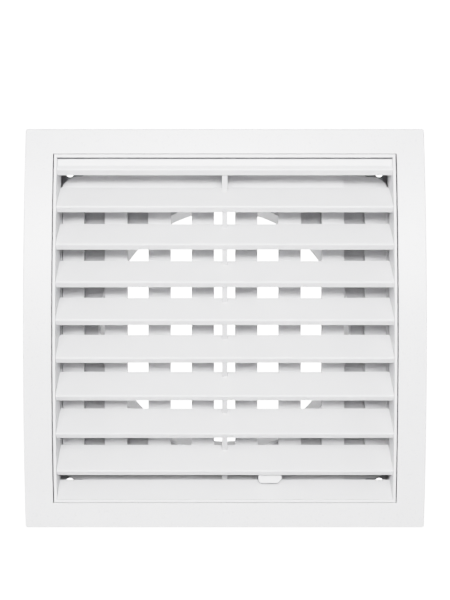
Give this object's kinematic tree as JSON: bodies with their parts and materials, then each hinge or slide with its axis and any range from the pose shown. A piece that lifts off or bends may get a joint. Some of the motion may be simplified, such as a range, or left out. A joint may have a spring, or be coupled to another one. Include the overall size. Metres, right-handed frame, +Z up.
{
  "type": "louvred air grille",
  "caption": "Square white wall grille with an arched front of sloping louvre blades, a slotted shutter moved by a finger tab behind them, and a round spigot for a duct.",
  "frame": {"origin": "centre of the wall face, on the axis of the duct spigot", "axes": "+X to the right seen from the room, +Y into the wall along the spigot, +Z up"},
  "size_m": [0.186, 0.0568, 0.186],
  "materials": {
    "white_frame": "satin",
    "white_box": "satin",
    "white_panel": "satin",
    "white_blades": "satin",
    "white_shutter": "satin"
  },
  "bodies": {
    "base": {"outer_frame": "white_frame", "back_plate": "white_box", "duct_spigot": "white_box"},
    "panel": {"panel_frame": "white_panel", "blade_top": "white_blades", "blade_1": "white_blades", "blade_2": "white_blades", "blade_3": "white_blades", "blade_4": "white_blades", "blade_5": "white_blades", "blade_6": "white_blades", "blade_7": "white_blades", "blade_8": "white_blades", "blade_bottom": "white_blades", "centre_comb": "white_panel", "fixed_grid": "white_panel", "guide_upper": "white_panel", "guide_lower": "white_panel"},
    "shutter": {"shutter_plate": "white_shutter", "shutter_tab": "white_shutter"}
  },
  "joints": [
    {"name": "panel_pull", "type": "slide", "parent": "base", "child": "panel", "axis": [0, -1, 0], "range_m": [0, 0.03]},
    {"name": "shutter_slide", "type": "slide", "parent": "panel", "child": "shutter", "axis": [1, 0, 0], "range_m": [0, 0.0104]}
  ]
}
